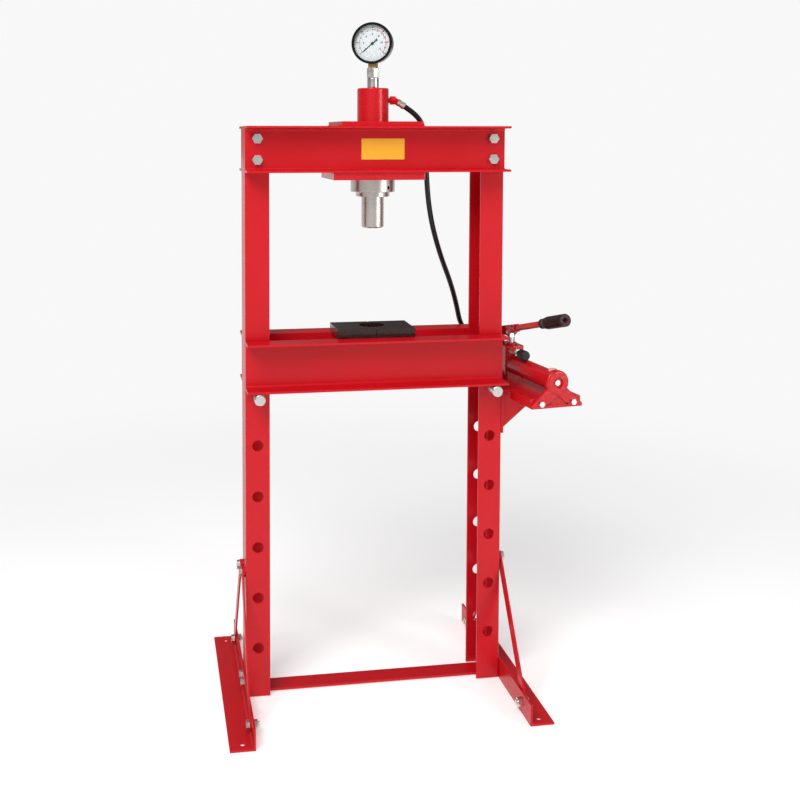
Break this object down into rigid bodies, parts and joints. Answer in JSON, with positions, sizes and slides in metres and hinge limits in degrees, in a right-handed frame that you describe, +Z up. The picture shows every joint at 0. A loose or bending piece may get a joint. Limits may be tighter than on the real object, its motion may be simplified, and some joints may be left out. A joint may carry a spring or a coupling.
{
  "type": "hydraulic shop press",
  "caption": "Floor-standing red H-frame shop press with a hydraulic ram, pressure gauge, hand pump on a side bracket, hose and a bed held on pins.",
  "frame": {"origin": "on the floor, under the middle of the ram and midway between the posts", "axes": "+X to the right seen from the front, towards the pump; +Y to the back; +Z up"},
  "size_m": [0.8619, 0.536, 1.63],
  "materials": {
    "red_paint": "gloss hammered powder coat",
    "zinc": "bright zinc plate",
    "zinc_fitting": "zinc-plated crimped sleeve",
    "nickel_steel": "satin turned steel",
    "ground_steel": "ground bright steel",
    "spring_steel": "dark spring steel",
    "black_steel": "black oxide",
    "seal_rubber": "smooth seal",
    "brass": "machined brass",
    "gauge_black": "gloss black enamel",
    "dial_white": "white enamel",
    "gauge_glass": "clear glass",
    "needle_black": "satin black",
    "hose_rubber": "smooth black hose cover",
    "grip_rubber": "moulded black rubber",
    "knob_black": "fluted black plastic",
    "filler_pale": "pale plastic",
    "arbor_paint": "dark hammered finish",
    "yellow_plate": "plain yellow enamel"
  },
  "bodies": {
    "frame": {"post_left": "red_paint", "post_right": "red_paint", "upper_beam_front": "red_paint", "upper_beam_rear": "red_paint", "beam_bolts": "zinc", "beam_nuts": "zinc", "top_plate": "red_paint", "bottom_plate": "red_paint", "rating_plate": "yellow_plate", "lower_crossbar": "red_paint", "foot_left": "red_paint", "foot_right": "red_paint", "braces": "red_paint", "foot_bolts": "zinc", "cylinder_barrel": "red_paint", "gland": "nickel_steel", "ring_nut": "nickel_steel", "set_screw": "black_steel", "return_spring": "spring_steel", "gauge_adapter": "zinc", "gauge_coupling": "zinc", "gauge_stem": "brass", "gauge_case": "gauge_black", "gauge_bezel": "gauge_black", "gauge_glass": "gauge_glass", "gauge_dial": "dial_white", "gauge_tube": "brass", "hose_elbow_upper": "red_paint", "hose_ferrules": "zinc_fitting", "hose": "hose_rubber", "hose_elbow_lower": "red_paint", "pump_bracket": "red_paint", "bracket_bolts": "zinc", "frame_nuts": "zinc", "pump_screws": "zinc", "pump_nuts": "zinc", "pump_head": "red_paint", "reservoir_tube": "red_paint", "end_cap": "red_paint", "end_plug": "zinc", "filler_plug": "filler_pale", "fulcrum_pin": "zinc"},
    "ram": {"piston": "nickel_steel", "piston_seal": "seal_rubber", "ram": "nickel_steel"},
    "bed": {"bed_channel_front": "red_paint", "bed_channel_rear": "red_paint", "bed_spacers": "red_paint", "arbor_block_left": "arbor_paint", "arbor_block_right": "arbor_paint"},
    "bed_pin_left": {"bed_pin_left": "zinc"},
    "bed_pin_right": {"bed_pin_right": "zinc"},
    "plunger": {"plunger": "ground_steel"},
    "pump_lever": {"lever": "red_paint", "lever_pin": "zinc", "handle_tube": "red_paint", "handle_grip": "grip_rubber"},
    "release_valve": {"release_stem": "zinc", "release_knob": "knob_black"},
    "needle": {"gauge_needle": "needle_black"}
  },
  "joints": [
    {"name": "ram_slide", "type": "slide", "parent": "frame", "child": "ram", "axis": [0, 0, -1], "range_m": [0, 0.15], "stiffness_N_per_m": 400, "springref_m": -0.2, "deforming": ["return_spring"]},
    {"name": "bed_lift", "type": "slide", "parent": "frame", "child": "bed", "axis": [0, 0, 1], "range_m": [0, 0.08]},
    {"name": "bed_pin_left_slide", "type": "slide", "parent": "frame", "child": "bed_pin_left", "axis": [0, -1, 0], "range_m": [0, 0.2]},
    {"name": "bed_pin_right_slide", "type": "slide", "parent": "frame", "child": "bed_pin_right", "axis": [0, -1, 0], "range_m": [0, 0.2]},
    {"name": "pump_handle", "type": "hinge", "parent": "frame", "child": "pump_lever", "pos_m": [0.3837, 0.11539, 0.849], "axis": [-0.9903, -0.1392, 0], "range_deg": [-20, 25]},
    {"name": "plunger_slide", "type": "slide", "parent": "frame", "child": "plunger", "axis": [0, 0, 1], "range_m": [-0.0095, 0.0118]},
    {"name": "release_valve_turn", "type": "hinge", "parent": "frame", "child": "release_valve", "pos_m": [0.38824, -0.00313, 0.806], "axis": [0.1392, -0.9903, 0], "range_deg": [0, 180]},
    {"name": "needle_turn", "type": "hinge", "parent": "frame", "child": "needle", "pos_m": [0, 0, 1.58], "axis": [0.4067, 0.9135, 0], "range_deg": [0, 260]}
  ],
  "couplings": [
    {"joint": "plunger_slide", "follows": "pump_handle", "m_per_rad": 0.026}
  ]
}
